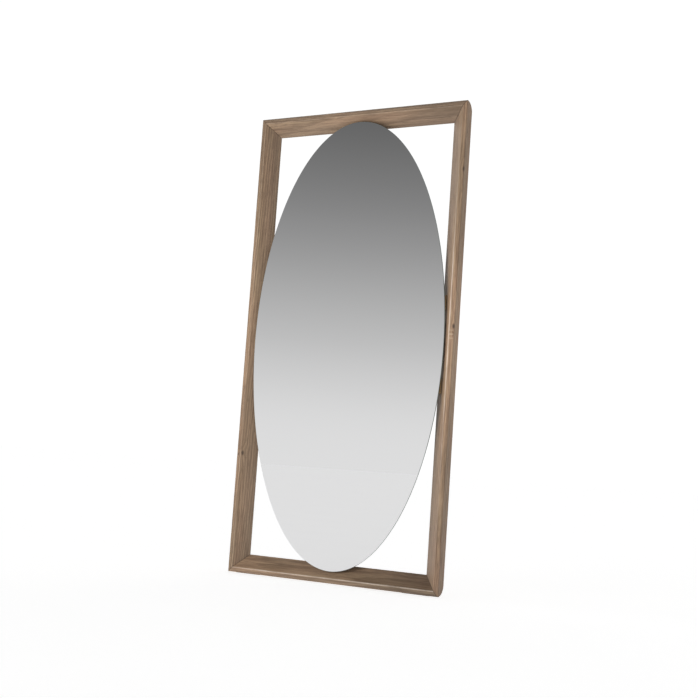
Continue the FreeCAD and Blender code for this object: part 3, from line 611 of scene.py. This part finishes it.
# %% [markdown]
# ## Battens and blocks
# Two softwood battens are let into the backs of the stiles and carry the board; two short
# blocks tie it to the top and bottom members. They are planed stock with eased edges:
# a rounded rectangle carried along X, drawn in a little at both ends for the eased ends.
# Softwood is paler than the frame, with wide soft rings and end grain that looks darker.

# %% Softwood finish
def softwood(name, heart, seed):
    """Rings every 4.2 mm round a heart line along X, bent by slow noise, with fine fibres."""
    g = Finish(name)
    spot = g.add("TexCoord", out=3)
    drift = g.add("TexNoise", {"Vector": g.stretch(spot, (0.5, 2, 2), (seed, 0, seed)),
                               "Scale": 2.5, "Detail": 2.0}, out=1)
    middle = g.add("VectorMath", {0: spot, 1: heart}, operation="SUBTRACT")
    bent = g.add("VectorMath", {0: drift, 1: (0.0, 0.045, 0.045), 2: middle},
                 operation="MULTIPLY_ADD")
    flat = g.add("VectorMath", {0: bent, 1: (0.03, 1.0, 1.0)}, operation="MULTIPLY")
    reach = g.add("VectorMath", {0: flat}, out=1, operation="LENGTH")
    ring = g.maths("FRACT", g.maths("DIVIDE", reach, 4.2 * MM))
    late = g.maths("SUBTRACT", g.remap(ring, 0.3, 0.85), g.remap(ring, 0.9, 1.0))
    fibre = g.noise(g.stretch(spot, (0.03, 1, 1)), 600.0, 3.0, 0.6)
    patch = g.noise(g.stretch(spot, (0.3, 1, 1), (seed, 0, 0)), 9.0, 2.0)
    colour = g.mix(late, rgb(0.62, 0.44, 0.25), rgb(0.42, 0.24, 0.105))
    colour = g.mix(g.remap(fibre, 0.35, 0.7, 0.0, 0.35), colour, rgb(0.36, 0.22, 0.11))
    colour = g.mix(0.5, colour, g.mix(patch, rgb(0.78, 0.77, 0.76), rgb(1.16, 1.14, 1.12)),
                   "MULTIPLY")
    return g.surface(Base_Color=colour, Roughness=g.remap(late, 0.0, 1.0, 0.62, 0.48),
                     Normal=g.bump(g.maths("SUBTRACT", late, fibre), 0.0002, 0.5))


def rounded_box(half_a, half_b, radius, arc_steps=5, side_steps=1):
    """Closed loop round a rectangle with quarter-round corners, anticlockwise."""
    a, b = [], []
    for turn, (sign_a, sign_b) in enumerate([(1, 1), (-1, 1), (-1, -1), (1, -1)]):
        angle = np.linspace(0, math.pi / 2, arc_steps) + turn * math.pi / 2
        a.append(sign_a * (half_a - radius) + radius * np.cos(angle))
        b.append(sign_b * (half_b - radius) + radius * np.sin(angle))
    a, b = np.concatenate(a), np.concatenate(b)
    return np.append(a, a[0]), np.append(b, b[0])


PLANK_STEPS = 30


def plank(name, node, radius, finishes, proud=0.0, **facts):
    """A rounded rectangle in Y and Z carried along X; its ends draw in over the radius."""
    low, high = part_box(node)
    length = high.x - low.x
    middle_y, middle_z = (low.y + high.y + proud) / 2, (low.z + high.z) / 2
    loop_y, loop_z = rounded_box((high.y - low.y + proud) / 2, (high.z - low.z) / 2, radius)
    bend = np.linspace(0, math.pi / 2, 5)
    ease_x, ease_in = radius * (1 - np.cos(bend)), radius * (1 - np.sin(bend))
    x = np.concatenate([ease_x, np.linspace(radius, length - radius, PLANK_STEPS)[1:-1],
                        length - ease_x[::-1]])
    inset = np.concatenate([ease_in, np.zeros(PLANK_STEPS - 2), ease_in[::-1]])
    y = middle_y + loop_y - np.sign(loop_y) * inset[:, None]
    z = middle_z + loop_z - np.sign(loop_z) * inset[:, None]
    x = low.x + x[:, None] + np.zeros_like(y)
    side = np.stack([x, y, z], axis=-1)
    sheets = [(side, 0, None)]
    for index in (0, -1):
        centre = np.broadcast_to(np.array([x[index, 0], middle_y, middle_z]), side[index].shape)
        sheets.append((np.stack([side[index], centre]), 1, None))
    return build(name, sheets, finishes, stands_for=[node], **facts)


end_grain = Finish("softwood end grain")
spot = end_grain.add("TexCoord", out=3)
rings = end_grain.add("TexWave", {"Vector": end_grain.stretch(spot, (0.02, 1, 1), (0, 0.2, 0.3)),
                                  "Scale": 38.0, "Distortion": 1.5}, out=1, wave_type="RINGS")
end_grain.surface(Base_Color=end_grain.mix(rings, rgb(0.40, 0.25, 0.12), rgb(0.25, 0.14, 0.06)),
                  Roughness=0.8, Normal=end_grain.bump(rings, 0.0002, 0.5))
for number, node in enumerate(["lower_batten", "upper_batten", "bottom_block", "top_block"]):
    low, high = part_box(node)
    heart = (0.1, low.y + (-0.06, 0.05)[number % 2], (low.z + high.z) / 2 + 0.045 * number - 0.05)
    pine = softwood("softwood %d" % number, heart, 3.0 + 5 * number)
    proud = 0.4 * MM if "batten" in node else 0.0
    plank(node + "_timber", node, 1.2 * MM, [pine, end_grain.material], proud,
          slot="batten_wood")
    print(node, "%.3f m long" % (high.x - low.x))

# %% [markdown]
# ## Plates and screws
# Flat steel corner braces and tie plates hold the joints. They are bright zinc plate:
# satin, a little blotchy, with fine rolling marks. The screws are yellow zinc, turned, with
# a cross recess. A screw head is one sheet round its axis: the radius steps outwards, and
# the height drops inside two crossed slots whose walls slope.

# %% Metal finishes
def plated(name, cool, warm, rough, scale):
    """Plated steel: cloudy tint, fine lines and a few duller blotches."""
    g = Finish(name)
    spot = g.add("TexCoord", out=3)
    cloud = g.noise(spot, 38.0, 3.0)
    spangle = g.add("TexVoronoi", {"Vector": spot, "Scale": 260.0})
    lines = g.noise(g.stretch(spot, (0.04, 1, 1)), scale, 2.0)
    colour = g.mix(g.maths("MULTIPLY_ADD", spangle, 0.35, g.maths("MULTIPLY", cloud, 0.65)),
                   cool, warm)
    g.surface(Base_Color=colour, Metallic=0.95,
              Roughness=g.remap(g.maths("ADD", cloud, lines), 0.7, 1.3, rough - 0.08, rough + 0.1),
              Normal=g.bump(lines, 0.00004, 0.4))
    return g.material


zinc = plated("satin zinc plate", rgb(0.55, 0.57, 0.60), rgb(0.70, 0.70, 0.68), 0.36, 1500.0)
yellow = plated("yellow zinc screw", rgb(0.62, 0.50, 0.26), rgb(0.70, 0.63, 0.45), 0.32, 2500.0)
bright = plated("bright zinc wire", rgb(0.62, 0.63, 0.65), rgb(0.74, 0.74, 0.73), 0.22, 3000.0)
dress(zinc, "top_tie_plate", "bottom_tie_plate", "corner_brace_top_left",
           "corner_brace_top_right", "corner_brace_bottom_left", "corner_brace_bottom_right")

# %% Turned pieces
def turned(centre, radii, heights, slots=None, steps=40):
    """A sheet round an axis along Y: x = r cos t, z = r sin t, y = height; slots sink it."""
    turn = np.linspace(0, 2 * math.pi, steps + 1)[None, :]
    radius = np.asarray(radii)[:, None] + 0 * turn
    height = np.asarray(heights)[:, None] + 0 * turn
    x, z = radius * np.cos(turn), radius * np.sin(turn)
    if slots:
        width, reach, drop, angle = slots
        across = x * math.cos(angle) + z * math.sin(angle)
        along = z * math.cos(angle) - x * math.sin(angle)
        narrow = np.minimum(np.abs(across), np.abs(along))
        wall = np.clip((width - narrow) / (0.25 * MM), 0, 1) * np.clip((reach - radius) / (0.5 * MM), 0, 1)
        height = height - drop * wall
    return np.stack([centre[0] + x, centre[1] + height, centre[2] + z], axis=-1)


def screw_heads(name, node, spots, head_radius, rise, seat):
    """All heads of one set of screws; each is turned by its own angle."""
    draw = np.random.default_rng(len(spots) * 7 + 1)
    sheets = []
    for spot in spots:
        radii = np.array([0, .12, .22, .32, .42, .52, .62, .72, .82, .9, .96, 1, 1, 1]) * head_radius
        rest = 1 - (np.minimum(radii, head_radius) / head_radius) ** 2
        heights = rise * rest
        heights[-2:] = [-0.25 * MM, -seat]
        slots = (0.42 * MM, 0.62 * head_radius, 1.0 * MM, draw.uniform(0, math.pi))
        sheets.append((turned(spot, radii, heights, slots), 0, None))
        sheets.append((turned(spot, [head_radius, 0], [-seat, -seat]), 0, None))
    return build(name, sheets, [yellow], slot="screw_steel", stands_for=[node])


HEAD_REACH = 9 * MM


def head_centres(node, back):
    """Middle of each head: points at the node's back nearer than 9 mm belong to one head,
    and its middle is halfway between their lowest and highest values."""
    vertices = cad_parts[node].data.vertices
    points = np.zeros(len(vertices) * 3, np.float32)
    vertices.foreach_get("co", points)
    points = points.reshape(-1, 3)
    points = points[np.abs(points[:, 1] - back) < 0.02 * MM]
    apart = points[:, None, :] - points[None, :, :]
    first = (np.hypot(apart[..., 0], apart[..., 2]) < HEAD_REACH).argmax(axis=1)
    heads = [points[first == index] for index in np.unique(first)]
    return [tuple(((head.min(axis=0) + head.max(axis=0)) / 2).tolist()) for head in heads]


for node, radius, rise in (("corner_brace_screws", 3.5, 0.35), ("tie_plate_screws", 3.5, 0.35),
                           ("batten_screws", 3.5, 0.9), ("panel_screws", 3.5, 0.9),
                           ("hanger_screws", 3.4, 0.5)):
    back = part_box(node)[1].y
    spots = head_centres(node, back)
    if node == "hanger_screws":
        spots = [(x, y - 0.6 * MM, z) for x, y, z in spots]
    screw_heads(node.replace("screws", "screw_heads"), node, spots, radius * MM, rise * MM,
                1.4 * MM)
    print(node, len(spots), "heads")

# %% [markdown]
# ## D-rings for an anti-tip cord
# A strap is folded from flat strip: its lower end is rolled round the straight bar of a
# wire ring, which swings on it. Both are one section carried along a path in a plane: the
# strip's is a thin rounded rectangle, the wire's a circle. The ring rides on its own body,
# so that it swings with the model's hinge.

# %% Rings and straps
def along_path(path_a, path_b, loop_n, loop_w, taper=None, closed=False):
    """Carries a section along a plane path: point = path + n * normal, and w sideways."""
    if closed:
        step_a = np.roll(path_a, -1) - np.roll(path_a, 1)
        step_b = np.roll(path_b, -1) - np.roll(path_b, 1)
    else:
        step_a, step_b = np.gradient(path_a), np.gradient(path_b)
    size = np.hypot(step_a, step_b)
    normal_a, normal_b = -step_b / size, step_a / size
    a = path_a[:, None] + normal_a[:, None] * loop_n
    b = path_b[:, None] + normal_b[:, None] * loop_n
    w = loop_w * (np.ones((len(path_a), 1)) if taper is None else taper[:, None])
    return a, b, w


def swing_ring(side):
    """Bar, two small bends, two legs and a half round; a circle of wire carried round it."""
    node = "hanger_ring_" + side
    low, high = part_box(node)
    wire = 1.5 * MM
    middle, pivot_y, pivot_z = (low.x + high.x) / 2, (low.y + high.y) / 2, high.z - wire
    half = (high.x - low.x) / 2 - wire
    small = 2.5 * MM
    leg_foot = low.z + wire + half
    quarter = np.linspace(0, math.pi / 2, 9)
    x = [np.linspace(-half + small, half - small, 8), half - small + small * np.sin(quarter[1:]),
         np.full(4, half), half * np.cos(np.linspace(0, math.pi, 33)), np.full(4, -half),
         -half + small - small * np.cos(quarter)[:-1]]
    z = [np.full(8, pivot_z), pivot_z - small + small * np.cos(quarter[1:]),
         np.linspace(pivot_z - small, leg_foot, 6)[1:-1],
         leg_foot - half * np.sin(np.linspace(0, math.pi, 33)),
         np.linspace(leg_foot, pivot_z - small, 6)[1:-1],
         pivot_z - small + small * np.sin(quarter)[:-1]]
    x, z = np.concatenate(x), np.concatenate(z)
    angle = np.linspace(0, 2 * math.pi, 17)
    a, b, w = along_path(x, z, wire * np.cos(angle), wire * np.sin(angle), closed=True)
    points = np.stack([middle + a, pivot_y + w + 0 * a, b], axis=-1)
    points = np.concatenate([points, points[:1]])
    return build(node + "_wire", [(points, 0, None)], [bright], body="ring_" + side,
                 slot="ring_steel", stands_for=[node])


def hanger_strap(side):
    """Flat strip from the top down to the bar, then most of a turn round it."""
    node = "hanger_strap_" + side
    low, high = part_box(node)
    thick, half = 1.2 * MM, (high.x - low.x) / 2
    barrel = 1.55 * MM + thick
    mean = barrel - thick / 2
    pivot_y, pivot_z = low.y + barrel, low.z + barrel
    top = high.z - pivot_z
    drop = np.concatenate([top - 3 * MM * (1 - np.cos(np.linspace(0, math.pi / 2, 7))),
                           np.linspace(top - 3 * MM, 0, 12)[1:]])
    roll = np.linspace(math.pi, math.pi * 2.72, 40)[1:]
    y = np.concatenate([np.full(len(drop), -mean), mean * np.cos(roll)])
    z = np.concatenate([drop, mean * np.sin(roll)])
    taper = np.ones(len(y))
    rest = np.clip(3 * MM - (top - z[:7]), 0, None)
    taper[:7] = (half - 3 * MM + np.sqrt(np.clip((3 * MM) ** 2 - rest ** 2, 0, None))) / half
    loop_w, loop_n = rounded_box(half, thick / 2, 0.3 * MM, 4)
    a, b, w = along_path(y, z, loop_n, loop_w, taper)
    points = np.stack([(low.x + high.x) / 2 + w, pivot_y + a, pivot_z + b], axis=-1)
    sheets = [(points, 0, None)]
    for index in (0, -1):
        centre = np.broadcast_to(points[index].mean(0), points[index].shape)
        sheets.append((np.stack([points[index], centre]), 0, None))
    return build(node + "_plate", sheets, [zinc], slot="zinc_plate", stands_for=[node])


for side in ("left", "right"):
    swing_ring(side)
    hanger_strap(side)

# %% [markdown]
# ## Rubber
# Two rubber buttons keep the top off the wall, and two ribbed strips let into the rounded
# foot stop it sliding. A button is turned; its flat top has a small dished hole, as moulded
# rubber feet have. A strip is bent round the same centre as the foot, and its surface dips
# between ribs that run along it.

# %% Buttons and strips
def rubber(name, base, rough):
    """Matt black of a base lightness, with dust that doubles it in patches and fine pits."""
    g = Finish(name)
    spot = g.add("TexCoord", out=3)
    dust = g.noise(spot, 70.0, 4.0)
    pits = g.noise(spot, 1800.0, 2.0)
    colour = g.mix(dust, rgb(base, base, base), rgb(base * 2.1, base * 2.05, base * 1.95))
    return g.surface(Base_Color=colour, Roughness=g.remap(dust, 0.3, 0.7, rough - 0.06, rough + 0.08),
                     Normal=g.bump(pits, 0.00008, 0.5))


button_rubber = rubber("button rubber", 0.028, 0.6)
strip_rubber = rubber("strip rubber", 0.034, 0.7)


def button(side):
    """Turned: a flat top with a dished hole, a round shoulder, and a straight wall."""
    node = "wall_bumper_" + side
    low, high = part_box(node)
    radius, height = (high.x - low.x) / 2, high.y - low.y
    shoulder = 3 * MM
    bend = np.linspace(0, math.pi / 2, 9)
    radii = np.concatenate([[0, 1.6 * MM, 2.0 * MM, 2.4 * MM, 3.4 * MM],
                            radius - shoulder + shoulder * np.sin(bend), [radius, 0]])
    heights = np.concatenate([[height - 1.5 * MM] * 2 + [height - 0.4 * MM, height, height],
                              height - shoulder + shoulder * np.cos(bend), [0, 0]])
    centre = ((low.x + high.x) / 2, low.y, (low.z + high.z) / 2)
    return build(node + "_button", [(turned(centre, radii, heights, steps=48), 0, None)],
                 [button_rubber], slot="bumper_rubber", stands_for=[node])


def floor_strip(side):
    """Outer radius R + 1 mm less the ribs' dips, inner radius R - 1 mm, over twenty degrees."""
    node = "floor_pad_" + side
    low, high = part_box(node)
    centre_y, centre_z = FRONT + DEPTH - ROUND, FOOT + ROUND
    outer, inner = centre_z - low.z, ROUND - 1 * MM
    angle = np.linspace(0, math.radians(20), 97)[:, None]
    x = np.linspace(low.x, high.x, 41)[None, :]
    share = angle / angle[-1]
    dip = 0.45 * MM * (0.5 - 0.5 * np.cos(share * 2 * math.pi * 6)) ** 0.7
    rim = np.clip(np.minimum(x - low.x, high.x - x) / (1.5 * MM), 0, 1)
    radius = outer - dip * rim

    def sheet(radius, x, angle):
        y, z = centre_y + radius * np.sin(angle), centre_z - radius * np.cos(angle)
        return np.stack(np.broadcast_arrays(x, y, z), axis=-1)

    top = sheet(radius, x, angle)
    under = sheet(inner + 0 * radius, x, angle)
    sheets = [(top, 0, None), (under, 0, None)]
    for pair in ((top[0], under[0]), (top[-1], under[-1]), (top[:, 0], under[:, 0]),
                 (top[:, -1], under[:, -1])):
        sheets.append((np.stack(pair), 0, None))
    return build(node + "_strip", sheets, [strip_rubber], slot="pad_rubber", stands_for=[node])


for side in ("left", "right"):
    button(side)
    floor_strip(side)

# %% [markdown]
# ## Floor, light and camera
# The mirror shows whatever stands in front of it, so the room is a plain studio: a pale
# floor, a bright low horizon and a ceiling that falls off into grey, which the glass
# repeats as a soft fade from top to bottom. The backdrop behind the frame is white at
# every height. A near softbox on the left and two broad, weak suns light the wood without
# being seen in the glass, and the softbox leaves out the floor, which so stays even.

# %% Floor
def floor_piece():
    """A level disc: x = r cos t, y = r sin t, with a ring of points every few metres."""
    turn = np.linspace(0, 2 * math.pi, 65)
    radius = np.array([0, 1, 2, 4, 8, 16, 32, 80, 240])[:, None]
    grid = np.stack([radius * np.cos(turn), radius * np.sin(turn), 0 * radius * turn], axis=-1)
    mesh = bpy.data.meshes.new("floor")
    mesh.from_pydata(grid.reshape(-1, 3), [], sheet_faces(*grid.shape[:2], 0))
    skin = bmesh.new()
    skin.from_mesh(mesh)
    bmesh.ops.remove_doubles(skin, verts=skin.verts, dist=1e-5)
    for face in skin.faces:
        if face.normal.z < 0:
            face.normal_flip()
    skin.to_mesh(mesh)
    skin.free()
    piece = bpy.data.objects.new("floor", mesh)
    bpy.context.scene.collection.objects.link(piece)
    return piece


pale = Finish("pale floor")
soft = pale.noise(pale.add("TexCoord", out=3), 1.5, 3.0)
pale.surface(Base_Color=pale.mix(soft, rgb(0.78, 0.78, 0.78), rgb(0.82, 0.82, 0.82)), Roughness=0.9,
             Specular_IOR_Level=0.0, Emission_Color=rgb(1, 1, 1), Emission_Strength=0.74)
floor_piece().data.materials.append(pale.material)

# %% Studio light
world = bpy.data.worlds.new("studio")
world.use_nodes = True
bpy.context.scene.world = world
tree = world.node_tree
backdrop = tree.nodes["Background"]
sky = Nodes(tree)
look = sky.add("TexCoord", out=0)
sky_x, sky_y, sky_z = [sky.add("SeparateXYZ", {0: look}, out=axis) for axis in range(3)]


def fade(steps):
    """A colour ramp over the sine of the height above the horizon, 0 to 0.4."""
    node = tree.nodes.new("ShaderNodeValToRGB")
    node.color_ramp.interpolation = "B_SPLINE"
    tree.links.new(sky.add("MapRange", {"Value": sky_z, 1: 0.0, 2: 0.4}), node.inputs[0])
    ramp = node.color_ramp.elements
    while len(ramp) < len(steps):
        ramp.new(0.5)
    for element, (height, value) in zip(ramp, steps):
        element.position = math.sin(math.radians(height)) / 0.4
        element.color = (value, value, value, 1)
    return node.outputs[0]


room = fade([(0, 0.985), (1.9, 0.965), (3.7, 0.87), (5.9, 0.70), (8.7, 0.52), (11.5, 0.34),
             (13.7, 0.26), (16.3, 0.17), (20, 0.13), (23, 0.12)])
white = sky.mix(sky.remap(sky_x, 0.1, 0.6), rgb(1.03, 1.03, 1.03), rgb(0.55, 0.55, 0.55))
white = sky.mix(sky.remap(sky_z, 0.46, 0.75), white, rgb(0.14, 0.14, 0.14))
behind = sky.remap(sky_y, 0.0, 0.3)
window = sky.maths("MULTIPLY", sky.remap(sky_x, -0.74, -0.92), sky.remap(sky_z, 0.50, 0.25))
glow = sky.mix(window, room, rgb(2.6, 2.6, 2.6))
sky.put(backdrop.inputs["Color"], sky.mix(behind, glow, white))
backdrop.inputs["Strength"].default_value = 1.0


def lamp_object(name, lamp, toward, place=(0, 0, 0)):
    """Puts a lamp at a place and turns it about X, then Z, so that it shines from a direction.
    It is unseen in reflections."""
    holder = bpy.data.objects.new(name, lamp)
    bpy.context.scene.collection.objects.link(holder)
    yaw = math.atan2(toward[0], -toward[1])
    tilt = math.atan2(math.hypot(toward[0], toward[1]), toward[2])
    holder.matrix_world = (Matrix.Translation(place) @ Matrix.Rotation(yaw, 4, "Z")
                           @ Matrix.Rotation(tilt, 4, "X"))
    holder.visible_glossy = False
    return holder


def softbox(name, place, aim, size, power):
    """A square soft lamp facing a point."""
    lamp = bpy.data.lights.new(name, "AREA")
    lamp.size, lamp.energy = size, power
    return lamp_object(name, lamp, np.array(place, float) - np.array(aim, float), place)


def soft_sun(name, toward, spread, strength):
    """Even light from a broad patch of the room in one direction."""
    lamp = bpy.data.lights.new(name, "SUN")
    lamp.angle, lamp.energy = math.radians(spread), strength
    return lamp_object(name, lamp, toward)


soft_sun("front light", (-0.42, -0.86, 0.26), 50, 0.25)
soft_sun("right fill", (0.95, -0.2, 0.25), 60, 0.12)
near = softbox("near softbox", (-0.6, -2.3, 1.05), (0, 0, 1.0), 1.2, 32)
unlit = bpy.data.collections.new("left out of the near softbox")
unlit.objects.link(bpy.data.objects["floor"])
near.light_linking.receiver_collection = unlit
unlit.collection_objects[0].light_linking.link_state = "EXCLUDE"

# %% Camera
LEAN, YAW, PITCH = 8.01, 29.57, 1.36
EYE = (2.5096, -4.3809, 0.4814)
view = bpy.data.cameras.new("camera")
view.lens, view.sensor_width = 62.09, 36.0
view.dof.use_dof = False
eye = bpy.data.objects.new("camera", view)
bpy.context.scene.collection.objects.link(eye)
eye.matrix_world = (Matrix.Translation(EYE)
                    @ Matrix.Rotation(math.radians(LEAN), 4, "X")
                    @ Matrix.Rotation(math.radians(YAW), 4, "Z")
                    @ Matrix.Rotation(math.radians(90 - PITCH), 4, "X"))
bpy.context.scene.camera = eye
bpy.context.scene.view_settings.view_transform = "Standard"
